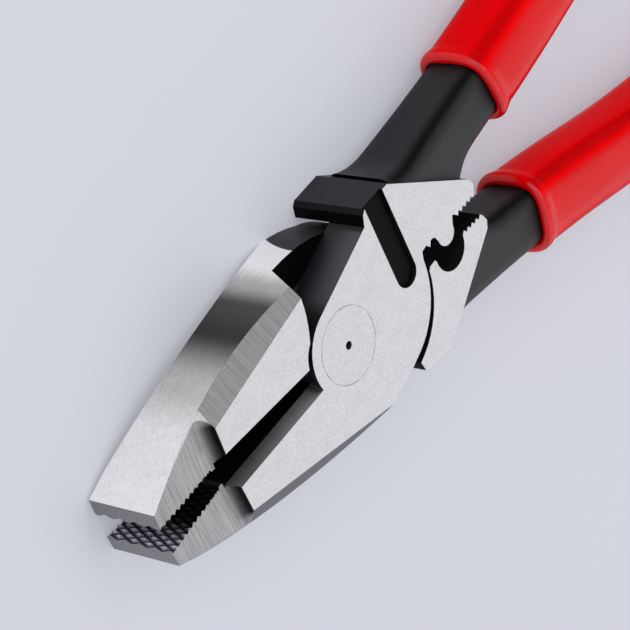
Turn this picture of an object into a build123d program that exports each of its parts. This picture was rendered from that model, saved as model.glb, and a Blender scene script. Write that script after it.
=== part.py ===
"""Lineman pliers: two forged levers in a lap joint, one rivet and two dipped grips.

Lengths are millimetres. The tool lies flat: Z is the pivot axis and z = 0 is the face it rests on.
X runs along the tool towards the jaw tips and halves the angle between the two levers.
Each lever is drawn as it lies when the tool is shut, with Z measured from the middle of the joint:
its jaw is on the +Y side, its handle on the -Y side, and its joint plate on the +Z side.
The second lever is that drawing turned over about the X axis.
"""
from build123d import *

import os
from math import cos, radians, sin, sqrt

os.makedirs("parts", exist_ok=True)

# ---- whole tool
half_thickness = 8.0
half_opening = 2.48
plate_gap = 0.02
running_fit = 0.05
margin = 2.0
tolerance = 0.1

# ---- jaw, from the pivot to the tip
tip_x = 50.2
tip_height = 3.2
back_mid = (26.0, 12.9)
back_top = (0.0, 16.7)
grip_face_y = 0.1
edge_y = 0.03
cutter_end_x = 34.5
cutter_crease = (1.0, 5.75)
cutter_land_y = 2.2

# ---- hollow ground into both sides of the nose
hollow_start_x = 32.8
hollow_bend = (33.5, 6.6)
hollow_root = (35.4, 5.95)
hollow_tip_z = 7.7

# ---- facet along both edges of the jaw's back
facet_start = (-1.0, 16.0, half_thickness)
facet_end = (33.1, 7.4, half_thickness)
facet_low = (33.0, 10.4, 5.85)

# ---- diamond knurl of the gripping face
knurl_angle = 68.5
knurl_pitch = 1.25
knurl_depth = 0.55
knurl_start_x = 35.4
groove_half_width = 0.57
groove_mouth = 0.3

# ---- lap joint
nose_radius = 9.25
wall_radius = 9.9
wall_leave_angle = 38
wall_mid = (6.3, 11.5)
wall_back = (6.3, 17.6)
wall_bulge = 0.4
wall_foot_x = 3.1
wall_head_x = 7.0
plate_sweep_radius = 11.1
pocket_rear_x = -30.0
pocket_rear_y = 3.0
nose_mid_angle = -25
plate_corner = (3.4, -8.6)
shoulder_front = (-13.9, -14.4)
shoulder_bevel = (-14.7, -16.3)
shoulder_corner = (-15.6, -17.0)
shoulder_end = (-22.4, -17.0)
heel = (-40.4, -3.7)
heel_tip = (-41.0, -2.2)
plate_back_mid = (-6.5, 16.1)
plate_back_end = (-12.2, 14.2)
plate_rear_mid = (-19.2, 9.9)
plate_rear_end = (-23.0, 1.5)
rear_wall_start = (-23.55, 0.0)
rear_wall_mid = (-20.1, -9.8)
rear_wall_end = (-14.2, -14.3)

# ---- crimping die, its nest, and the teeth behind them
die_x = -30.3
die_radius = 2.3
die_height = 2.6
nest_depth = 4.9
nest_rear = (-34.0, -0.85)
nest_front = (-25.9, -0.85)
tooth_pitch = 1.27
tooth_start_x = -34.0
tooth_count = 5
tooth_root_y = -0.85
tooth_tip_y = -0.15
notch_y = -1.25
die_foot_run = 0.6
die_front = ((-27.6, -0.9), (-27.0, notch_y), (-26.4, notch_y), (-25.7, -0.3), (-25.0, notch_y))
nest_lip = ((-25.6, -0.3), (-24.0, -0.5))
relief_notch = ((-23.6, -1.05), (-23.1, 0.4))

# ---- blank panel sunk in the joint plate
panel_x = -18.3
panel_width = 5.4
panel_end_y = 2.0
panel_depth = 0.7

# ---- rivet
head_radius = 6.94
head_height = 3.2
shank_radius = 4.6
centre_mark_radius = 0.75
centre_mark_depth = 1.0
centre_mark_taper = 30

# ---- handle and grip
handle_start = (-40.0, -10.3)
handle_bend = (-52.0, -11.7)
handle_flare = (-80.0, -16.0)
handle_end = (-186.0, -16.0)
tang_half_widths = (5.85, 5.0, 4.4)
tang_half_thickness = 6.2
tang_round = 3.2
neck_profile_start = (-56.0, 6.2)
neck_profile_end = (-24.0, 7.7)
neck_outer_x = -31.5
neck_shoulder = (-23.9, -16.6)
neck_inner_x = -47.0
neck_heel = (-41.1, -2.6)
neck_inside = ((-27.0, -9.0), (-36.0, -5.0))
grip_half_widths = (7.75, 7.6, 7.0)
grip_half_thickness = 7.85
grip_round = 6.0
lip_round = 0.9
upper_lip_x = -54.6
lower_lip_x = -55.6


def lever_plane(turn, side):
    """Middle plane of one lever: side is 1 where its joint plate is on top, and -1 where below."""
    along = (cos(radians(turn)), side * sin(radians(turn)), 0)
    return Plane(origin=(0, 0, half_thickness), x_dir=along, z_dir=(0, 0, side))


def jaw_outline():
    """Jaw from the pivot to the tip."""
    with BuildSketch() as outline:
        with BuildLine():
            Polyline(back_top, (0, grip_face_y), (tip_x, grip_face_y), (tip_x, tip_height))
            ThreePointArc((tip_x, tip_height), back_mid, back_top)
        make_face()
    return outline.sketch


def tooth_row():
    """Corners of the saw teeth behind the die, from the die to the heel."""
    corners = []
    for tooth in range(tooth_count):
        root_x = tooth_start_x - tooth * tooth_pitch
        corners.append((root_x, tooth_root_y))
        corners.append((root_x - tooth_pitch / 2, tooth_tip_y))
    corners.append((tooth_start_x - tooth_count * tooth_pitch, tooth_root_y))
    return corners


def die_line():
    """Rounded crimping tooth, from the saw teeth to the front of the crimping place."""
    left = (die_x - die_radius, die_height - die_radius)
    right = (die_x + die_radius, die_height - die_radius)
    Polyline((tooth_start_x, tooth_root_y), (tooth_start_x + die_foot_run, notch_y), left)
    ThreePointArc(left, (die_x, die_height), right)
    Polyline(right, *die_front)
    return die_front[-1]


def nest_line():
    """Rounded hollow that faces the crimping tooth."""
    ThreePointArc(nest_rear, (die_x, -nest_depth), nest_front)
    Polyline(nest_front, *nest_lip)
    return nest_lip[-1]


def head_outline(has_die):
    """Joint plate, shoulder and heel in one outline."""
    nose_end = (sqrt(nose_radius**2 - cutter_land_y**2), cutter_land_y)
    middle = radians(nose_mid_angle)
    nose_mid = (nose_radius * cos(middle), nose_radius * sin(middle))
    teeth = tooth_row()
    with BuildSketch() as outline:
        with BuildLine():
            Polyline(back_top, (back_mid[0] / 2, cutter_land_y), nose_end)
            ThreePointArc(nose_end, nose_mid, plate_corner)
            Polyline(plate_corner, shoulder_front, shoulder_bevel, shoulder_corner, shoulder_end, heel)
            Polyline(heel, heel_tip, teeth[-1])
            Polyline(*reversed(teeth))
            front = die_line() if has_die else nest_line()
            Polyline(front, *relief_notch, plate_rear_end)
            ThreePointArc(plate_rear_end, plate_rear_mid, plate_back_end)
            ThreePointArc(plate_back_end, plate_back_mid, back_top)
        make_face()
    return outline.sketch


def recess_outline():
    """Room that the other lever's joint plate needs on the underside of this one."""
    turns = [radians(wall_leave_angle * share) for share in (0, 0.5, 1)]
    reaches = (wall_radius, wall_radius + wall_bulge, wall_radius)
    start, early, leave = [(reach * cos(turn), reach * sin(turn)) for reach, turn in zip(reaches, turns)]
    low_y = shoulder_corner[1] - margin
    with BuildSketch() as outline:
        with BuildLine():
            ThreePointArc(start, early, leave)
            ThreePointArc(leave, wall_mid, wall_back)
            Polyline(wall_back, (pocket_rear_x, wall_back[1]), (pocket_rear_x, pocket_rear_y))
            Polyline((pocket_rear_x, pocket_rear_y), (rear_wall_start[0], pocket_rear_y), rear_wall_start)
            ThreePointArc(rear_wall_start, rear_wall_mid, rear_wall_end)
            Polyline(rear_wall_end, shoulder_bevel, (shoulder_bevel[0], low_y), (wall_radius, low_y), start)
        make_face()
    return outline.sketch


def recess_shape():
    """Pocket in the underside. Its front wall slopes, except where the other plate's corner sweeps by."""
    outline = recess_outline()
    rise = Vector(wall_head_x - wall_foot_x, 0, -half_thickness)
    with BuildPart() as recess:
        with BuildSketch(Plane.XY.offset(plate_gap)):
            add(outline)
        extrude(amount=-half_thickness - margin)
        slope = Plane(origin=(wall_foot_x, 0, 0), x_dir=rise, z_dir=rise.cross(Vector(0, 1, 0)))
        split(bisect_by=slope, keep=Keep.BOTTOM)
        with BuildSketch(Plane.XY.offset(plate_gap)):
            add(outline)
            Circle(plate_sweep_radius, mode=Mode.INTERSECT)
        extrude(amount=-half_thickness - margin)
    return recess.part


def handle_outline(half_widths, has_neck):
    """Outline to both sides of the handle's middle line, to its round end.

    half_widths are given at the bend, the flare and the end of the line. With a neck, the outline
    curves out to the shoulder and to the heel and closes inside the head. Without one it starts
    square at the start of the line.
    """
    first = (Vector(*handle_bend) - Vector(*handle_start)).normalized()
    curve = TangentArc(handle_bend, handle_flare, tangent=first, mode=Mode.PRIVATE)
    tail = TangentArc(handle_flare, handle_end, tangent=curve % 1, mode=Mode.PRIVATE)
    stations = (
        (Vector(*handle_start), first, half_widths[0]),
        (Vector(*handle_bend), first, half_widths[0]),
        (curve @ 1, curve % 1, half_widths[1]),
        (tail @ 1, tail % 1, half_widths[2]),
    )
    outer = [place + along.rotate(Axis.Z, 90) * width for place, along, width in stations]
    inner = [place + along.rotate(Axis.Z, -90) * width for place, along, width in stations]
    with BuildSketch() as outline:
        with BuildLine():
            for side in (outer, inner):
                bend = TangentArc(side[1], side[2], tangent=first)
                TangentArc(side[2], side[3], tangent=bend % 1)
            ThreePointArc(outer[3], tail @ 1 + (tail % 1) * half_widths[2], inner[3])
            if has_neck:
                outer_turn = outer[1] + first * ((neck_outer_x - outer[1].X) / first.X)
                inner_turn = inner[1] + first * ((neck_inner_x - inner[1].X) / first.X)
                Line(outer[1], outer_turn)
                TangentArc(outer_turn, neck_shoulder, tangent=first * -1)
                Polyline(neck_shoulder, *neck_inside, neck_heel)
                TangentArc(inner_turn, neck_heel, tangent=first * -1)
                Line(inner_turn, inner[1])
            else:
                Polyline(outer[1], outer[0], inner[0], inner[1])
        make_face()
    return outline.sketch


def neck_and_tang():
    """Steel handle: a neck that thickens towards the head and the tang that the grip covers."""
    outline = handle_outline(tang_half_widths, has_neck=True)
    far_x = handle_end[0] - half_thickness
    with BuildPart() as handle:
        with BuildSketch(Plane.XY.offset(-half_thickness)):
            add(outline)
        extrude(amount=2 * half_thickness)
        with BuildSketch(Plane.XZ):
            with BuildLine():
                end_x, end_z = neck_profile_end
                upper = TangentArc(neck_profile_start, neck_profile_end, tangent=(1, 0))
                mirror(upper, about=Plane.XZ)
                Line(neck_profile_end, (end_x + margin, end_z))
                Line((end_x + margin, end_z), (end_x + margin, -end_z))
                Line((end_x + margin, -end_z), (end_x, -end_z))
                Polyline(
                    neck_profile_start,
                    (far_x, tang_half_thickness),
                    (far_x, -tang_half_thickness),
                    (neck_profile_start[0], -tang_half_thickness),
                )
            make_face()
        extrude(amount=4 * half_thickness, both=True, mode=Mode.INTERSECT)
        rims = handle.edges().filter_by(lambda edge: abs(edge.center().Z) > tang_half_thickness - tolerance)
        rims = rims.filter_by(GeomType.LINE, reverse=True)
        fillet(rims.filter_by(lambda edge: edge.center().X < heel[0]), radius=tang_round)
    return handle.part


def grip_shape(lip_x):
    """Dipped grip over one tang, open at lip_x with a rounded lip and closed at the end."""
    outline = handle_outline(grip_half_widths, has_neck=False)
    tang = neck_and_tang()
    slope = (handle_bend[1] - handle_start[1]) / (handle_bend[0] - handle_start[0])
    lip_y = handle_start[1] + slope * (lip_x - handle_start[0])
    with BuildPart() as grip:
        with BuildSketch(Plane.XY.offset(-grip_half_thickness)):
            add(outline)
        extrude(amount=2 * grip_half_thickness)
        rims = grip.faces().filter_by(Axis.Z).edges()
        fillet(rims.filter_by(lambda edge: edge.center().X < handle_start[0] - margin), radius=grip_round)
        split(bisect_by=Plane(origin=(lip_x, lip_y, 0), z_dir=(-1, -slope, 0)), keep=Keep.TOP)
        fillet(grip.faces().sort_by(Axis.X)[-1].edges(), radius=lip_round)
        add(tang, mode=Mode.SUBTRACT)
    return grip.part


def knurl_grooves(angle):
    """One family of parallel V grooves across the gripping face, angle degrees from its length."""
    along = (cos(radians(angle)), 0, sin(radians(angle)))
    across = (sin(radians(angle)), 0, -cos(radians(angle)))
    length = tip_x - knurl_start_x
    middle = Plane(origin=(knurl_start_x + length / 2, grip_face_y, 0), x_dir=across, z_dir=along)
    reach = half_thickness + length / 2
    count = 2 * int(reach / knurl_pitch) + 1
    mouth = groove_half_width * (1 + groove_mouth / knurl_depth)
    with BuildSketch() as groove:
        with BuildLine():
            Polyline((-mouth, -groove_mouth), (mouth, -groove_mouth), (0, knurl_depth), (-mouth, -groove_mouth))
        make_face()
    with BuildPart() as grooves:
        with BuildSketch(middle):
            with GridLocations(knurl_pitch, 1, count, 1):
                add(groove.sketch)
        extrude(amount=reach, both=True)
        with BuildSketch(Plane.XY.offset(-half_thickness)):
            with Locations((knurl_start_x, 0)):
                Rectangle(length + margin, 2 * margin, align=(Align.MIN, Align.CENTER))
        extrude(amount=2 * half_thickness, mode=Mode.INTERSECT)
    return grooves.part


def facet_plane(side):
    """Plane of the ground facet along one edge of the jaw's back."""
    start = Vector(*facet_start)
    along = Vector(*facet_end) - start
    down = Vector(*facet_low) - start
    normal = along.cross(down).normalized()
    if normal.Z < 0:
        normal = normal * -1
    return Plane(
        origin=(start.X, start.Y, start.Z * side),
        x_dir=(along.X, along.Y, along.Z * side),
        z_dir=(normal.X, normal.Y, normal.Z * side),
    )


def lever_shape(has_die, fit):
    """One forged lever; fit is the play between its holes and the rivet."""
    grooves = [knurl_grooves(angle) for angle in (knurl_angle, -knurl_angle)]
    handle = neck_and_tang()
    recess = recess_shape()
    with BuildPart() as lever:
        with BuildSketch():
            add(jaw_outline())
        extrude(amount=half_thickness, both=True)
        with BuildSketch(Plane.YZ):
            with BuildLine():
                crease_y, crease_z = cutter_crease
                high = half_thickness + margin
                upper = [(edge_y, 0), (crease_y, crease_z), (cutter_land_y, half_thickness), (cutter_land_y, high)]
                lower = [(y, -z) for y, z in reversed(upper)]
                Polyline(*upper, (-margin, high), (-margin, -high), *lower)
            make_face()
        extrude(amount=cutter_end_x, mode=Mode.SUBTRACT)
        with BuildSketch():
            add(head_outline(has_die))
        extrude(amount=half_thickness, both=True)
        add(recess, mode=Mode.SUBTRACT)
        add(handle)
        for side in (1, -1):
            split(bisect_by=facet_plane(side), keep=Keep.BOTTOM)
        with BuildSketch(Plane.XZ):
            for side in (1, -1):
                with BuildLine():
                    start = (hollow_start_x, side * half_thickness)
                    bend = (hollow_bend[0], side * hollow_bend[1])
                    root = (hollow_root[0], side * hollow_root[1])
                    tip = (tip_x + margin, side * hollow_tip_z)
                    outside = side * (half_thickness + margin)
                    ThreePointArc(start, bend, root)
                    Polyline(root, tip, (tip[0], outside), (start[0], outside), start)
                make_face()
        extrude(amount=2 * half_thickness + margin, both=True, mode=Mode.SUBTRACT)
        for cutter in grooves:
            add(cutter, mode=Mode.SUBTRACT)
        with BuildSketch(Plane.XY.offset(half_thickness)):
            with Locations((panel_x, panel_end_y - panel_width / 2)):
                Circle(panel_width / 2)
                Rectangle(panel_width, 2 * half_thickness + margin * 2, align=(Align.CENTER, Align.MAX))
        extrude(amount=-panel_depth, mode=Mode.SUBTRACT)
        with BuildSketch(Plane.XY.offset(-half_thickness)):
            Circle(shank_radius + fit)
        extrude(amount=2 * half_thickness, mode=Mode.SUBTRACT)
        with BuildSketch(Plane.XY.offset(half_thickness)):
            Circle(head_radius + fit)
        extrude(amount=-head_height - fit, mode=Mode.SUBTRACT)
    return lever.part


lower_plane = lever_plane(half_opening, 1)
upper_plane = lever_plane(half_opening, -1)

with BuildPart() as lever_lower_jaw:
    with Locations(lower_plane):
        add(lever_shape(has_die=True, fit=0))
lever_lower_jaw.part.label = "lever_lower_jaw"
export_step(lever_lower_jaw.part, "parts/lever_lower_jaw.step")

with BuildPart() as lever_upper_jaw:
    with Locations(upper_plane):
        add(lever_shape(has_die=False, fit=running_fit))
lever_upper_jaw.part.label = "lever_upper_jaw"
export_step(lever_upper_jaw.part, "parts/lever_upper_jaw.step")

with BuildPart() as pivot_rivet:
    with BuildSketch():
        Circle(head_radius)
    extrude(amount=head_height)
    with BuildSketch(Plane.XY.offset(head_height)):
        Circle(shank_radius)
    extrude(amount=2 * (half_thickness - head_height))
    with BuildSketch(Plane.XY.offset(2 * half_thickness - head_height)):
        Circle(head_radius)
    extrude(amount=head_height)
    with BuildSketch(Plane.XY.offset(2 * half_thickness)):
        Circle(centre_mark_radius)
    extrude(amount=-centre_mark_depth, taper=centre_mark_taper, mode=Mode.SUBTRACT)
pivot_rivet.part.label = "pivot_rivet"
export_step(pivot_rivet.part, "parts/pivot_rivet.step")

with BuildPart() as grip_upper:
    with Locations(lower_plane):
        add(grip_shape(upper_lip_x))
grip_upper.part.label = "grip_upper"
export_step(grip_upper.part, "parts/grip_upper.step")

with BuildPart() as grip_lower:
    with Locations(upper_plane):
        add(grip_shape(lower_lip_x))
grip_lower.part.label = "grip_lower"
export_step(grip_lower.part, "parts/grip_lower.step")
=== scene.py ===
from math import cos, pi, radians, sin
from types import SimpleNamespace

import bmesh
import bpy
from mathutils import Matrix, Vector


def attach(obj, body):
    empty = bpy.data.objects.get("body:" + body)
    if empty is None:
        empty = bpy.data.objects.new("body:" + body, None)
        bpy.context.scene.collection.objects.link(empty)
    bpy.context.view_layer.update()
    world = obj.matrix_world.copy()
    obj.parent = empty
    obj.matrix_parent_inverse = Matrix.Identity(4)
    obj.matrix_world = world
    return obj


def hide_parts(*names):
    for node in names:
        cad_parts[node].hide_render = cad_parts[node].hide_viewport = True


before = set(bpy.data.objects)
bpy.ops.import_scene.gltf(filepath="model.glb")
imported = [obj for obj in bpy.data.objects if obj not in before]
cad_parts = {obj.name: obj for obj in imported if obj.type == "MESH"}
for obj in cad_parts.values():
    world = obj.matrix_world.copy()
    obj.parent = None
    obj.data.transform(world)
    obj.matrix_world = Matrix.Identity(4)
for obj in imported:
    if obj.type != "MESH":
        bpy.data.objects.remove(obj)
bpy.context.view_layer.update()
scene = bpy.context.scene
mm = 0.001

# Both levers are one drawing, in millimetres: shut, with the jaw on +Y and the joint plate on top.
half_thickness = 8.0
half_opening = radians(2.48)


# ---------------------------------------------------------------- node trees
class Finish:
    """A material's node tree, with short calls for the nodes that the finishes share."""

    noise_middle = (0.3, 0.7)

    def __init__(self, name):
        self.material = bpy.data.materials.new(name)
        self.material.use_nodes = True
        self.tree = self.material.node_tree
        self.tree.nodes.clear()

    def connect(self, value, socket):
        """Links a socket's value, or writes a plain value."""
        if isinstance(value, bpy.types.NodeSocket):
            self.tree.links.new(value, socket)
        else:
            socket.default_value = value

    def node(self, kind, inputs=None, **settings):
        made = self.tree.nodes.new(kind)
        for name, value in settings.items():
            setattr(made, name, value)
        for name, value in (inputs or {}).items():
            self.connect(value, made.inputs[name])
        return made

    def math(self, operation, first, second=0.0, third=0.0):
        values = {0: first, 1: second, 2: third}
        return self.node("ShaderNodeMath", values, operation=operation).outputs[0]

    def times(self, *values):
        result = values[0]
        for value in values[1:]:
            result = self.math("MULTIPLY", result, value)
        return result

    def magnitude(self, value):
        return self.math("ABSOLUTE", value)

    def ramp(self, value, start, end):
        """0 before start and 1 after end, smooth in between. It falls where end is below start."""
        low, high = min(start, end), max(start, end)
        first, last = (0.0, 1.0) if start < end else (1.0, 0.0)
        inputs = {"Value": value, "From Min": low, "From Max": high, "To Min": first, "To Max": last}
        return self.node("ShaderNodeMapRange", inputs, interpolation_type="SMOOTHSTEP").outputs[0]

    def both(self, *masks):
        return self.times(*masks)

    def either(self, *masks):
        result = masks[0]
        for mask in masks[1:]:
            result = self.math("MAXIMUM", result, mask)
        return result

    def blend(self, factor, first, second):
        inputs = {"Value": factor, "To Min": first, "To Max": second}
        return self.node("ShaderNodeMapRange", inputs).outputs[0]

    def rescale(self, value, low, high, first=0.0, second=1.0):
        inputs = {"Value": value, "From Min": low, "From Max": high, "To Min": first, "To Max": second}
        return self.node("ShaderNodeMapRange", inputs).outputs[0]

    def vary(self, noise, first, second):
        """The middle of a noise's range as a span of values."""
        return self.rescale(noise, *self.noise_middle, first, second)

    def split(self, vector):
        return self.node("ShaderNodeSeparateXYZ", {0: vector}).outputs[:]

    def join(self, x, y, z):
        return self.node("ShaderNodeCombineXYZ", {0: x, 1: y, 2: z}).outputs[0]

    def noise(self, vector, scale, detail, roughness):
        inputs = {"Vector": vector, "Scale": scale, "Detail": detail, "Roughness": roughness}
        return self.node("ShaderNodeTexNoise", inputs).outputs["Fac"]

    def stretched(self, vector, scales):
        """The vector multiplied part by part, which draws a noise out into lines."""
        inputs = {0: vector, 1: scales}
        return self.node("ShaderNodeVectorMath", inputs, operation="MULTIPLY").outputs[0]

    def mix(self, factor, first, second):
        made = self.node("ShaderNodeMix", data_type="RGBA")
        factor_socket, first_socket, second_socket = made.inputs[0], made.inputs[6], made.inputs[7]
        self.connect(factor, factor_socket)
        self.connect(first, first_socket)
        self.connect(second, second_socket)
        return made.outputs[2]

    def bump(self, height, distance, normal=None):
        inputs = {"Height": height, "Distance": distance, "Strength": 1.0}
        if normal is not None:
            inputs["Normal"] = normal
        return self.node("ShaderNodeBump", inputs).outputs[0]

    def surface(self, **values):
        """Ends the tree with one surface and gives its material."""
        inputs = {key.replace("_", " "): value for key, value in values.items()}
        surface = self.node("ShaderNodeBsdfPrincipled", inputs)
        output = self.node("ShaderNodeOutputMaterial")
        self.tree.links.new(surface.outputs[0], output.inputs["Surface"])
        return self.material


def grey(value):
    return (value, value, value, 1.0)


def paint(node, material):
    """Gives a CAD node its material."""
    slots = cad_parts[node].data.materials
    slots.clear()
    slots.append(material)


# ---------------------------------------------------------------- steel
# A surface is told by its facing and its place. Each pair is where its mask is 0 and where it's 1.
level_facing = (0.95, 0.98)
flat_depth = (7.8, 7.9)

hollow_upright = (0.27, 0.33)
hollow_start = (32.78, 32.85)
hollow_depth = (7.97, 7.9)
# The hollow's root, next to its step up to the flat, is darkened as painted shade.
hollow_root_x = (35.6, 32.8)
hollow_root_y = (9.4, 7.6)

facet_facing = (0.35, 0.45)
facet_upright = (0.6, 0.7)
facet_start = (-1.6, -0.8)

back_facing = (0.6, 0.7)
back_upright = (0.4, 0.3)
back_start = (-2.85, -2.55)
back_start_curve = 0.034

tip_facing = (0.9, 0.95)
tip_place = (49.9, 50.1)

inward_facing = (-0.3, -0.5)
cutter_start = (8.0, 9.0)
cutter_end = (35.2, 34.8)
cutter_upright = (0.1, 0.13)
bevel_upright = (0.3, 0.4)

knurl_start = (35.0, 35.4)
knurl_height = (0.75, 0.7)
knurl_upright = (0.4, 0.33)
knurl_facing = (0.9, 0.85)
knurl_crest = (0.7, -0.2)
knurl_brightening = (43.0, 50.0)

pocket_depth = (0.2, 0.1)
lapped_slope = 0.13
lapped_limit = (11.4, 7.2)

# The recess, the shoulder's front, the panel and the knurl are darkened as painted shade.
recess_depth = (7.85, 7.6)
recess_x = (-20.0, -17.0)
recess_y = (2.5, 5.0)
recess_facing = (0.8, 0.7)

shoulder_facing = (0.5, 0.7)
shoulder_y = (-12.0, -13.0)

panel_top = (7.6, 7.5)
panel_bottom = (7.0, 7.1)
panel_x = (-24.0, -22.0)

# Painted shade along the neck's rounded ridges.
ridge_rise = (0.0, 0.6)
ridge_fall = (1.0, 0.6)
ridge_start = (-23.0, -26.0)
ridge_side = (0.55, 0.35)

# Painted reflection on the inner wall at the joint plate's edge, lighter towards the face and fading
# with depth.
plate_edge_front = (3.0, -1.0)
plate_edge_rear = (-13.5, -12.5)
plate_edge_depth = (0.5, 8.0)

# How much light the ground steel gives back. The camera sees the near facet on the upper jaw lever.
joint_shade = 0.48
hairline_shade = 0.1
# Painted shade in the rivet's centre mark.
mark_painted_shade = 0.02
plain_shade = 0.03
near_facet_shade = 0.13
# The facet on the lower jaw lever is a little darker than on the upper one, as painted shade.
far_facet_painted_shade = 0.1
hollow_shade = 0.27
# Painted shade at the hollow's root.
hollow_root_painted_shade = 0.006
tip_shade = 0.27
# The cutter's inner faces and their bevels, in the narrow gap between the jaws, are darkened as painted
# shade.
cutter_painted_shade = 0.03
lapped_shade = 1.0
bevel_painted_shades = (0.1, 0.19)
bevel_fade = (36.0, 12.0)

# Painted reflection along the jaw's back, by share of its length. The dark part stands in for a
# reflection in the photo.
back_span = (-4.0, 51.0)
back_painted_reflection_tones = {0.0: 1.0, 0.12: 1.0, 0.2: 0.5, 0.29: 0.07, 0.41: 0.04, 0.6: 0.6, 0.77: 0.95, 1.0: 1.0}

# Noise cells per millimetre in x, y and z, which draw lines along and across the tool.
lengthwise_stretch = (0.12, 3.0, 3.0)
crosswise_stretch = (4.2, 0.1, 0.1)

# The lowest and the highest factor that lines, grit and mottle put on the shade.
soft_lines = (0.86, 1.12)
strong_lines = (0.6, 1.4)
grit_span = (0.84, 1.16)
mottle_span = (0.97, 1.03)

# Black oxide, and the knurl's crests, which are brighter towards the tip.
oxide_span = (0.001, 0.012)
oxide_tint = (0.95, 0.97, 1.08)
# Painted shade along the neck's ridges.
ridge_share = 0.45
# Painted shade in the knurl, the recess, on the shoulder's front and in the panel.
hidden_share = 0.15
# Painted reflection on the inner wall at the joint plate's edge.
plate_edge_shade = 0.06
crest_shades = (0.014, 0.9)
crest_noise = (0.35, 0.65)
crest_span = (0.3, 1.7)

# How metallic, tinted, rough and glossy the surfaces are.
back_metal = 0.72
lapped_metal = 0.5
back_red = 1.02
back_blue = 0.95
oxide_rough = (0.34, 0.52)
ground_rough = (0.28, 0.4)
oxide_gloss = 0.27
hidden_gloss = 0.04

# Softened edges and the depth of the relief.
edge_radius = 0.12 * mm
knurl_edge_radius = 0.01 * mm
oxide_bump = 0.05 * mm
ground_bump = 0.012 * mm


def lever_frame(finish, side):
    """Place in millimetres and facing, both in the lever's own drawing. Side is 1 or -1."""
    texture = finish.node("ShaderNodeTexCoord").outputs
    turn = (0.0, 0.0, -half_opening)
    inputs = {
        "Vector": texture["Object"],
        "Location": (0.0, 0.0, -half_thickness * side),
        "Rotation": turn,
        "Scale": (1 / mm, side / mm, side / mm),
    }
    place = finish.node("ShaderNodeMapping", inputs, vector_type="POINT")
    inputs = {"Vector": texture["Normal"], "Rotation": turn, "Scale": (1.0, side, side)}
    facing = finish.node("ShaderNodeMapping", inputs, vector_type="VECTOR")
    return place.outputs[0], facing.outputs[0]


def wheel_lines(finish, place, crosswise):
    """Lines of the grinding wheels: along the tool, and across it where the mask says so."""
    along = finish.stretched(place, lengthwise_stretch)
    lengthwise = finish.noise(along, scale=1.0, detail=4.0, roughness=0.65)
    aside = finish.stretched(place, crosswise_stretch)
    across = finish.noise(aside, scale=1.0, detail=4.0, roughness=0.75)
    return finish.blend(crosswise, lengthwise, across)


def steel_noises(finish, place):
    """The mottle, grain and grit that both steels share."""
    return SimpleNamespace(
        mottle=finish.noise(place, scale=0.35, detail=3.0, roughness=0.6),
        grain=finish.noise(place, scale=5.5, detail=3.0, roughness=0.7),
        grit=finish.noise(place, scale=2.6, detail=3.0, roughness=0.8),
    )


def ground_zones(finish, spot):
    """Masks of the surfaces that are ground bright."""
    level = finish.ramp(spot.upright, *level_facing)
    run_out = finish.math("MULTIPLY_ADD", finish.times(spot.z, spot.z), back_start_curve, spot.x)
    floor_limit = finish.math("MULTIPLY_ADD", spot.x, lapped_slope, spot.y)
    zones = SimpleNamespace(
        flat=finish.both(level, finish.ramp(spot.depth, *flat_depth)),
        hollow=finish.both(
            finish.ramp(spot.upright, *hollow_upright),
            finish.ramp(spot.x, *hollow_start),
            finish.ramp(spot.depth, *hollow_depth),
        ),
        facet=finish.both(
            finish.ramp(spot.facing_y, *facet_facing),
            finish.ramp(spot.upright, *facet_upright),
            finish.ramp(spot.x, *facet_start),
        ),
        back=finish.both(
            finish.ramp(spot.facing_y, *back_facing),
            finish.ramp(spot.upright, *back_upright),
            finish.ramp(run_out, *back_start),
        ),
        tip=finish.both(finish.ramp(spot.facing_x, *tip_facing), finish.ramp(spot.x, *tip_place)),
        cutter=finish.both(
            finish.ramp(spot.facing_y, *inward_facing),
            finish.ramp(spot.x, *cutter_start),
            finish.ramp(spot.x, *cutter_end),
            finish.ramp(spot.upright, *cutter_upright),
        ),
        lapped=finish.both(
            level, finish.ramp(spot.depth, *pocket_depth), finish.ramp(floor_limit, *lapped_limit)
        ),
    )
    zones.all = finish.either(*vars(zones).values())
    zones.bevel = finish.both(zones.cutter, finish.ramp(spot.upright, *bevel_upright))
    return zones


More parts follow.
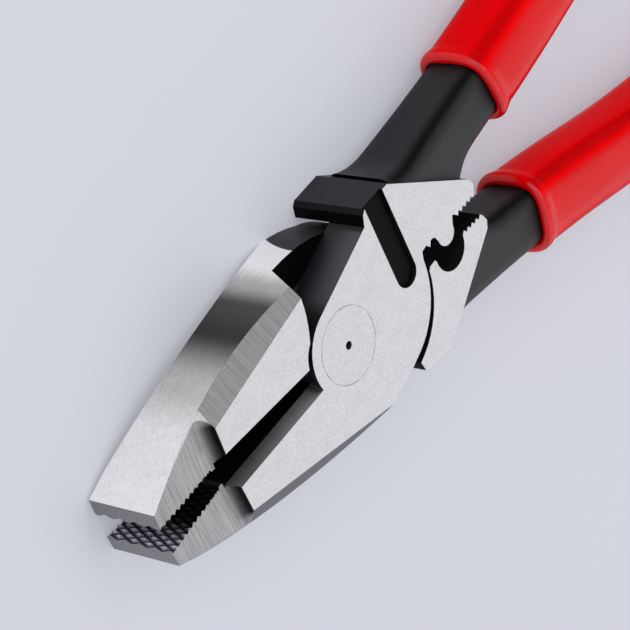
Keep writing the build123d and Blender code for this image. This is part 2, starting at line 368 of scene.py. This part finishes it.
def oxide_zones(finish, spot):
    """Masks of the black surfaces that differ from the plain forging: painted shade, a painted
    reflection and the knurl's crests.
    """
    zones = SimpleNamespace(
        knurl=finish.both(
            finish.ramp(spot.x, *knurl_start),
            finish.ramp(spot.y, *knurl_height),
            finish.ramp(spot.upright, *knurl_upright),
            finish.ramp(spot.facing_x, *knurl_facing),
        ),
        recess=finish.both(
            finish.ramp(spot.depth, *recess_depth),
            finish.ramp(spot.x, *recess_x),
            finish.ramp(spot.y, *recess_y),
            finish.ramp(spot.facing_y, *recess_facing),
        ),
        shoulder_front=finish.both(
            finish.ramp(spot.facing_x, *shoulder_facing), finish.ramp(spot.y, *shoulder_y)
        ),
        panel=finish.both(
            finish.ramp(spot.upright, *level_facing),
            finish.ramp(spot.depth, *panel_top),
            finish.ramp(spot.depth, *panel_bottom),
            finish.ramp(spot.x, *panel_x),
        ),
    )
    # Painted shade in the knurl, the recess, on the shoulder's front and in the panel.
    zones.hidden = finish.either(*vars(zones).values())
    zones.crest = finish.both(zones.knurl, finish.ramp(spot.y, *knurl_crest))
    # Painted shade along the neck's rounded ridges.
    zones.ridge = finish.both(
        finish.ramp(spot.upright, *ridge_rise),
        finish.ramp(spot.upright, *ridge_fall),
        finish.ramp(spot.x, *ridge_start),
        finish.ramp(finish.magnitude(spot.facing_x), *ridge_side),
    )
    zones.plate_edge = finish.both(
        finish.ramp(spot.facing_y, *inward_facing),
        finish.ramp(spot.x, *plate_edge_front),
        finish.ramp(spot.x, *plate_edge_rear),
        finish.ramp(spot.depth, *plate_edge_depth),
    )
    return zones


def painted_back_reflection(finish, x):
    """Painted reflection along the jaw's back: bright at both ends, dark in between."""
    along = finish.node("ShaderNodeValToRGB", {"Fac": finish.rescale(x, *back_span)})
    ramp = along.color_ramp
    ramp.interpolation = "EASE"
    ramp.elements[0].color = grey(back_painted_reflection_tones[0.0])
    ramp.elements[-1].color = grey(back_painted_reflection_tones[1.0])
    for share, tone in back_painted_reflection_tones.items():
        if 0.0 < share < 1.0:
            ramp.elements.new(share).color = grey(tone)
    return along.outputs["Color"]


def ground_colour(finish, spot, zones, noises, lines, side):
    """Ground steel: a shade for each kind of surface, varied by the lines, the grit and the mottle."""
    # Painted shade at the hollow's root, next to the step up to the flat.
    root_painted_shade = finish.both(finish.ramp(spot.x, *hollow_root_x), finish.ramp(spot.y, *hollow_root_y))
    shade = finish.blend(zones.flat, plain_shade, joint_shade)
    # The jaw's back takes a painted reflection, bright at both ends and dark in between.
    shade = finish.blend(zones.back, shade, painted_back_reflection(finish, spot.x))
    # Painted shade: the lower jaw lever's facet is a little darker than the upper one's.
    shade = finish.blend(zones.facet, shade, near_facet_shade if side < 0 else far_facet_painted_shade)
    shade = finish.blend(zones.hollow, shade, finish.blend(root_painted_shade, hollow_shade, hollow_root_painted_shade))
    shade = finish.blend(zones.tip, shade, tip_shade)
    # Painted shade on the cutter's inner faces and bevels, in the narrow gap between the jaws.
    shade = finish.blend(zones.cutter, shade, cutter_painted_shade)
    bevel_painted_shade = finish.blend(finish.ramp(spot.x, *bevel_fade), *bevel_painted_shades)
    shade = finish.blend(zones.bevel, shade, bevel_painted_shade)
    shade = finish.blend(zones.lapped, shade, lapped_shade)

    strong = finish.either(zones.hollow, zones.facet, zones.tip)
    lowest = finish.blend(strong, soft_lines[0], strong_lines[0])
    highest = finish.blend(strong, soft_lines[1], strong_lines[1])
    line_share = finish.vary(lines, lowest, highest)
    lined = finish.either(zones.hollow, zones.facet, zones.back, zones.cutter, zones.tip)
    share = finish.blend(lined, finish.vary(noises.grit, *grit_span), line_share)
    bright = finish.times(shade, share, finish.vary(noises.mottle, *mottle_span))
    red = finish.times(bright, finish.blend(zones.back, 1.0, back_red))
    blue = finish.times(bright, finish.blend(zones.back, 1.0, back_blue))
    return finish.join(red, bright, blue)


def oxide_colour(finish, spot, zones, noises):
    """Black oxide with the blasted grain showing: less glossy and darkened as painted shade along the
    rounded ridges of the neck, darkened as painted shade in the recesses, with a painted reflection on
    the plate's inner wall, and the knurl's crests.
    """
    shade = finish.times(
        finish.vary(noises.grain, *oxide_span),
        finish.blend(zones.ridge, 1.0, ridge_share),
        finish.blend(zones.hidden, 1.0, hidden_share),
    )
    # Painted reflection on the inner wall at the joint plate's edge.
    shade = finish.blend(zones.plate_edge, shade, plate_edge_shade)
    crest = finish.times(
        finish.blend(finish.ramp(spot.x, *knurl_brightening), *crest_shades),
        finish.rescale(noises.grain, *crest_noise, *crest_span),
    )
    shade = finish.blend(zones.crest, shade, crest)
    return finish.join(*[finish.times(shade, part) for part in oxide_tint])


def lever_steel(name, side):
    """Forging in black oxide, ground bright on its flats, its jaw's back, facets, nose and cutter."""
    finish = Finish(name)
    place, facing = lever_frame(finish, side)
    spot = SimpleNamespace()
    spot.x, spot.y, spot.z = finish.split(place)
    spot.facing_x, spot.facing_y, facing_z = finish.split(facing)
    spot.depth = finish.magnitude(spot.z)
    spot.upright = finish.magnitude(facing_z)

    ground = ground_zones(finish, spot)
    black = oxide_zones(finish, spot)
    noises = steel_noises(finish, place)
    crosswise = finish.either(ground.hollow, ground.facet, ground.cutter)
    lines = wheel_lines(finish, place, crosswise)

    bright = ground_colour(finish, spot, ground, noises, lines, side)
    dark = oxide_colour(finish, spot, black, noises)
    metal = finish.times(
        finish.either(ground.all, black.crest),
        finish.blend(ground.back, 1.0, back_metal),
        finish.blend(ground.lapped, 1.0, lapped_metal),
    )
    rough = finish.blend(
        ground.all, finish.vary(noises.grain, *oxide_rough), finish.vary(lines, *ground_rough)
    )
    gloss = finish.blend(finish.either(black.hidden, black.ridge), oxide_gloss, hidden_gloss)

    radius = finish.blend(black.knurl, edge_radius, knurl_edge_radius)
    soft_edge = finish.node("ShaderNodeBevel", {"Radius": radius}, samples=4).outputs[0]
    relief = finish.blend(ground.all, noises.grain, lines)
    relief_height = finish.blend(ground.all, oxide_bump, ground_bump)
    return finish.surface(
        Base_Color=finish.mix(ground.all, dark, bright),
        Metallic=metal,
        Roughness=rough,
        Specular_IOR_Level=gloss,
        Normal=finish.bump(relief, relief_height, soft_edge),
    )


# The rivet's head is told from the joint plate by a broken hairline and its centre mark, whose dimple is
# darkened as painted shade.
hairline_radius = (6.80, 6.88)
hairline_breaks = (0.62, 0.45)
mark_radius = (0.8, 0.7)
rivet_tint = (0.985, 0.99, 1.0)


def rivet_steel():
    """Ground with the joint plates, so only the hairline and the centre mark show it."""
    finish = Finish("rivet_steel")
    texture = finish.node("ShaderNodeTexCoord").outputs
    place = finish.stretched(texture["Object"], (1 / mm, 1 / mm, 1 / mm))
    x, y = finish.split(place)[:2]
    noises = steel_noises(finish, place)
    radius = finish.math("SQRT", finish.math("ADD", finish.times(x, x), finish.times(y, y)))
    hairline = finish.both(
        finish.ramp(radius, *hairline_radius), finish.ramp(noises.mottle, *hairline_breaks)
    )
    shade = finish.blend(hairline, joint_shade, hairline_shade)
    # Painted shade in the centre mark's dimple.
    shade = finish.blend(finish.ramp(radius, *mark_radius), shade, mark_painted_shade)
    shade = finish.times(shade, finish.vary(noises.grit, *grit_span))
    return finish.surface(
        Base_Color=finish.join(*[finish.times(shade, part) for part in rivet_tint]),
        Metallic=1.0,
        Roughness=finish.vary(noises.grain, *ground_rough),
        Normal=finish.bump(noises.grain, ground_bump),
    )


# ---------------------------------------------------------------- dipped grips
# The handle's middle line and the tang, as in the lever's drawing.
handle_start = Vector((-40.0, -10.3))
handle_bend = Vector((-52.0, -11.7))
handle_flare = Vector((-80.0, -16.0))
handle_end = Vector((-186.0, -16.0))
tang_half_widths = (5.85, 5.0, 4.4)
tang_half_thickness = 6.2
grip_half_widths = (7.75, 7.6, 7.0)
grip_half_thickness = 7.85
upper_lip_x = -54.6
lower_lip_x = -55.6
bead_height = 0.4
bead_length = 2.6
wall_inset = 0.15
outer_squareness = 2.75
inner_squareness = 4.0

# How finely the grip's mesh is drawn.
segments = 48
cap_steps = 9
body_steps = 40
bead_steps = 7
lip_steps = 10
inside_steps = 12


def arc_point(start, tangent, end, share):
    """Place and direction at a share of the arc that leaves start along tangent and ends at end."""
    chord = end - start
    half_turn = tangent.angle_signed(chord)
    turn = Matrix.Rotation(-half_turn * share, 2)
    length = chord.length * sin(half_turn * share) / sin(half_turn)
    return start + (turn @ tangent) * length, (turn @ turn @ tangent).normalized()


def handle_point(run):
    """Place, direction and station at a distance from the handle's start that is past its bend."""
    first = (handle_bend - handle_start).normalized()
    straight = (handle_bend - handle_start).length
    bend = (handle_flare - handle_bend).length
    tail = (handle_end - handle_flare).length
    if run <= straight + bend:
        share = (run - straight) / bend
        place, along = arc_point(handle_bend, first, handle_flare, share)
        return place, along, share
    along = arc_point(handle_bend, first, handle_flare, 1.0)[1]
    share = min((run - straight - bend) / tail, 1.0)
    place, along = arc_point(handle_flare, along, handle_end, share)
    return place, along, 1.0 + share


def between(values, share):
    """The value at a share of 0 to 2 along three stations."""
    station = min(int(share), 1)
    return values[station] + (values[station + 1] - values[station]) * (share - station)


def rounded(value, squareness):
    """A cosine or sine, reshaped so that a circle becomes a superellipse."""
    return abs(value) ** (2 / squareness) * (1 if value >= 0 else -1)


def ring(run, half_widths, thickness, squareness, grow=0.0, scale=1.0, beyond=0.0):
    """Section across the handle: a superellipse, as points of the lever's drawing."""
    place, along, share = handle_point(run)
    place = place + along * beyond
    across = Vector((-along.y, along.x))
    half_width = (between(half_widths, share) + grow) * scale
    half_height = (thickness + grow) * scale
    points = []
    for step in range(segments):
        angle = 2 * pi * step / segments
        level = place + across * (half_width * rounded(cos(angle), squareness))
        points.append(Vector((level.x, level.y, half_height * rounded(sin(angle), squareness))))
    return points


def grip_rings(lip_run):
    """Rings of one grip: from the closed end along the outside to the lip, and back along the inside."""
    total = (handle_bend - handle_start).length
    total += (handle_flare - handle_bend).length + (handle_end - handle_flare).length
    outer = (grip_half_widths, grip_half_thickness, outer_squareness)
    inner = (tang_half_widths, tang_half_thickness, inner_squareness)
    wall = grip_half_widths[0] + bead_height - tang_half_widths[0] + wall_inset
    bead_start = lip_run + wall / 2
    rings = []
    for step in range(1, cap_steps + 1):
        angle = pi / 2 * (1 - step / cap_steps)
        rings.append(ring(total, *outer, scale=cos(angle), beyond=grip_half_widths[2] * sin(angle)))
    for step in range(1, body_steps + 1):
        rings.append(ring(total + (bead_start + bead_length - total) * step / body_steps, *outer))
    for step in range(1, bead_steps + 1):
        share = step / bead_steps
        rise = share * share * (3 - 2 * share)
        run = bead_start + bead_length * (1 - share)
        rings.append(ring(run, *outer, grow=bead_height * rise))
    for step in range(1, lip_steps):
        angle = pi * step / lip_steps
        share = (1 - cos(angle)) / 2
        run = bead_start - wall / 2 * sin(angle)
        outside = ring(run, *outer, grow=bead_height)
        inside = ring(run, *inner, grow=-wall_inset)
        rings.append([first.lerp(second, share) for first, second in zip(outside, inside)])
    for step in range(inside_steps + 1):
        run = bead_start + (total - bead_start) * step / inside_steps
        rings.append(ring(run, *inner, grow=-wall_inset))
    for step in range(1, cap_steps):
        angle = pi / 2 * step / cap_steps
        reach = (tang_half_widths[2] - wall_inset) * sin(angle)
        rings.append(ring(total, *inner, grow=-wall_inset, scale=cos(angle), beyond=reach))
    return rings


def skin(name, rings):
    """Closed mesh over the rings, with a point at the middle of each end ring."""
    vertices = [point for points in rings for point in points]
    faces = []
    for row in range(len(rings) - 1):
        for step in range(segments):
            following = (step + 1) % segments
            near, far = row * segments, (row + 1) * segments
            faces.append((near + step, near + following, far + following, far + step))
    for row, flip in ((0, True), (len(rings) - 1, False)):
        pole = len(vertices)
        vertices.append(sum(rings[row], Vector((0.0, 0.0, 0.0))) / segments)
        for step in range(segments):
            face = (row * segments + step, row * segments + (step + 1) % segments, pole)
            faces.append(face[::-1] if flip else face)
    mesh = bpy.data.meshes.new(name)
    mesh.from_pydata(vertices, [], faces)
    return mesh


def build_grip(name, side, lip_x, material):
    """One dipped grip over the tang of the lever on this side."""
    slope = (handle_bend - handle_start).normalized()
    lip_run = (lip_x - handle_start.x) / slope.x
    mesh = skin(name, grip_rings(lip_run))
    place = Matrix.Translation((0.0, 0.0, half_thickness * mm))
    place = place @ Matrix.Rotation(half_opening * side, 4, "Z")
    if side < 0:
        place = place @ Matrix.Rotation(pi, 4, "X")
    mesh.transform(place @ Matrix.Scale(mm, 4))
    tidy = bmesh.new()
    tidy.from_mesh(mesh)
    bmesh.ops.recalc_face_normals(tidy, faces=tidy.faces)
    tidy.to_mesh(mesh)
    tidy.free()
    mesh.shade_smooth()
    mesh.materials.append(material)
    grip = bpy.data.objects.new(name, mesh)
    scene.collection.objects.link(grip)
    return grip


# The plastic's look. The pairs of facing and place are masks, as for the steel.
# The grip's rounded ridges are darkened as painted shade.
grip_ridge_rise = (0.25, 0.55)
grip_ridge_fall = (0.88, 0.66)
grip_top = (0.85, 0.97)
lip_place = (-58.0, -57.0)
lip_facing = (0.1, 0.4)
ridge_depth = 0.66
cloud_span = (0.94, 1.05)
side_red = 0.7
# The flat faces are painted a darker red than the sides, as painted shade against the stronger light on
# them.
top_painted_shade_red = 0.58
other_red = 0.0006
blue_share = 3.0
peel_rough = (0.11, 0.16)
dust_noise = (0.45, 0.75)
dust_rough = (0.0, 0.05)
side_gloss = 0.012
top_gloss = 0.15
lip_gloss = 0.45
ripple_stretch = (0.05, 0.22, 0.22)
ripple_bump = 0.25 * mm
peel_bump = 0.02 * mm
dust_bump = 0.004 * mm


def grip_red(name, side):
    """Dipped plastic: glossy red with the faint ripple and dust of a poured skin, and painted shade on
    its rounded ridges and its flat faces.
    """
    finish = Finish(name)
    place, facing = lever_frame(finish, side)
    x = finish.split(place)[0]
    facing_x, _, facing_z = finish.split(facing)
    upright = finish.magnitude(facing_z)
    top = finish.ramp(upright, *grip_top)
    ridge = finish.both(finish.ramp(upright, *grip_ridge_rise), finish.ramp(upright, *grip_ridge_fall))
    lip = finish.both(finish.ramp(x, *lip_place), finish.ramp(facing_x, *lip_facing))

    drawn = finish.stretched(place, ripple_stretch)
    ripple = finish.noise(drawn, scale=1.0, detail=2.0, roughness=0.45)
    peel = finish.noise(place, scale=0.9, detail=2.0, roughness=0.5)
    dust = finish.noise(place, scale=7.0, detail=3.0, roughness=0.6)
    cloud = finish.noise(place, scale=0.06, detail=3.0, roughness=0.6)

    # Painted shade along the grip's rounded ridges, varied by a random cloud.
    depth = finish.times(finish.blend(ridge, 1.0, ridge_depth), finish.vary(cloud, *cloud_span))
    # Painted shade: the flat faces are a darker red than the sides.
    red = finish.times(depth, finish.blend(top, side_red, top_painted_shade_red))
    green = finish.times(depth, other_red)
    blue = finish.times(green, blue_share)
    dusty = finish.rescale(dust, *dust_noise, *dust_rough)
    rough = finish.math("ADD", finish.vary(peel, *peel_rough), dusty)
    gloss = finish.blend(top, side_gloss, top_gloss)
    normal = finish.bump(ripple, ripple_bump)
    normal = finish.bump(peel, peel_bump, normal)
    normal = finish.bump(dust, dust_bump, normal)
    return finish.surface(
        Base_Color=finish.join(red, green, blue),
        Roughness=rough,
        Specular_IOR_Level=finish.blend(lip, gloss, lip_gloss),
        Normal=normal,
    )


# ---------------------------------------------------------------- floor, lights, camera
floor_side = 6.0
paper_dark = (0.325, 0.33, 0.352, 1.0)
paper_light = (0.335, 0.34, 0.362, 1.0)
paper_glow = (0.272, 0.277, 0.308, 1.0)
sky = (0.90, 0.905, 0.96, 1.0)
light_distance = 1.2


def floor_finish():
    """Pale backlit sheet: its own glow keeps the shadows faint."""
    finish = Finish("floor")
    place = finish.node("ShaderNodeTexCoord").outputs["Object"]
    cloud = finish.noise(place, scale=3.0, detail=2.0, roughness=0.5)
    return finish.surface(
        Base_Color=finish.mix(cloud, paper_dark, paper_light),
        Roughness=0.9,
        Specular_IOR_Level=0.0,
        Emission_Color=paper_glow,
        Emission_Strength=1.0,
    )


def build_floor():
    mesh = bpy.data.meshes.new("floor")
    corners = [(x * floor_side, y * floor_side, 0.0) for x, y in ((-1, -1), (1, -1), (1, 1), (-1, 1))]
    mesh.from_pydata(corners, [], [(0, 1, 2, 3)])
    floor = bpy.data.objects.new("floor", mesh)
    scene.collection.objects.link(floor)
    mesh.materials.append(floor_finish())


def area_light(name, direction, size, radiance):
    """Softbox that faces the joint. Radiance is what a mirror would show of it."""
    light = bpy.data.lights.new(name, "AREA")
    light.shape = "RECTANGLE"
    light.size, light.size_y = size
    light.energy = radiance * pi * size[0] * size[1]
    lamp = bpy.data.objects.new(name, light)
    scene.collection.objects.link(lamp)
    away = Vector(direction).normalized()
    lamp.location = away * light_distance
    lamp.rotation_mode = "QUATERNION"
    lamp.rotation_quaternion = away.to_track_quat("Z", "Y")


def build_world():
    world = bpy.data.worlds.new("studio")
    world.use_nodes = True
    background = world.node_tree.nodes["Background"]
    background.inputs["Color"].default_value = sky
    background.inputs["Strength"].default_value = 1.0
    scene.world = world


def build_camera():
    azimuth = radians(45.36)
    elevation = radians(40.99)
    roll = radians(99.51)
    distance = 0.4433
    target = Vector((-0.0024, -0.0034, 0.008))
    camera = bpy.data.cameras.new("camera")
    camera.sensor_width = 36.0
    camera.lens = 148.57
    camera.clip_start = 0.01
    body = bpy.data.objects.new("camera", camera)
    scene.collection.objects.link(body)
    turn = Matrix.Rotation(azimuth, 4, "Z") @ Matrix.Rotation(pi / 2 - elevation, 4, "X")
    turn = turn @ Matrix.Rotation(roll, 4, "Z")
    body.matrix_world = Matrix.Translation(target) @ turn @ Matrix.Translation((0, 0, distance))
    scene.camera = body


paint("lever_lower_jaw", lever_steel("lower_jaw_steel", 1))
paint("lever_upper_jaw", lever_steel("upper_jaw_steel", -1))
paint("pivot_rivet", rivet_steel())

for node, body, side, lip_x in (
    ("grip_upper", "lower_jaw_lever", 1, upper_lip_x),
    ("grip_lower", "upper_jaw_lever", -1, lower_lip_x),
):
    grip = build_grip(node + "_skin", side, lip_x, grip_red(node + "_red", side))
    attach(grip, body)
    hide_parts(node)

build_floor()
build_world()
area_light("key", direction=(-0.54, 0.53, 0.66), size=(1.2, 1.2), radiance=0.5)
area_light("fill", direction=(0.3, -0.8, 0.5), size=(0.8, 0.8), radiance=0.9)
area_light("top", direction=(-0.34, -0.41, 0.85), size=(0.7, 0.7), radiance=0.9)
area_light("strip", direction=(-0.25, -0.55, 0.8), size=(0.05, 0.9), radiance=9.0)
build_camera()
scene.view_settings.view_transform = "Standard"
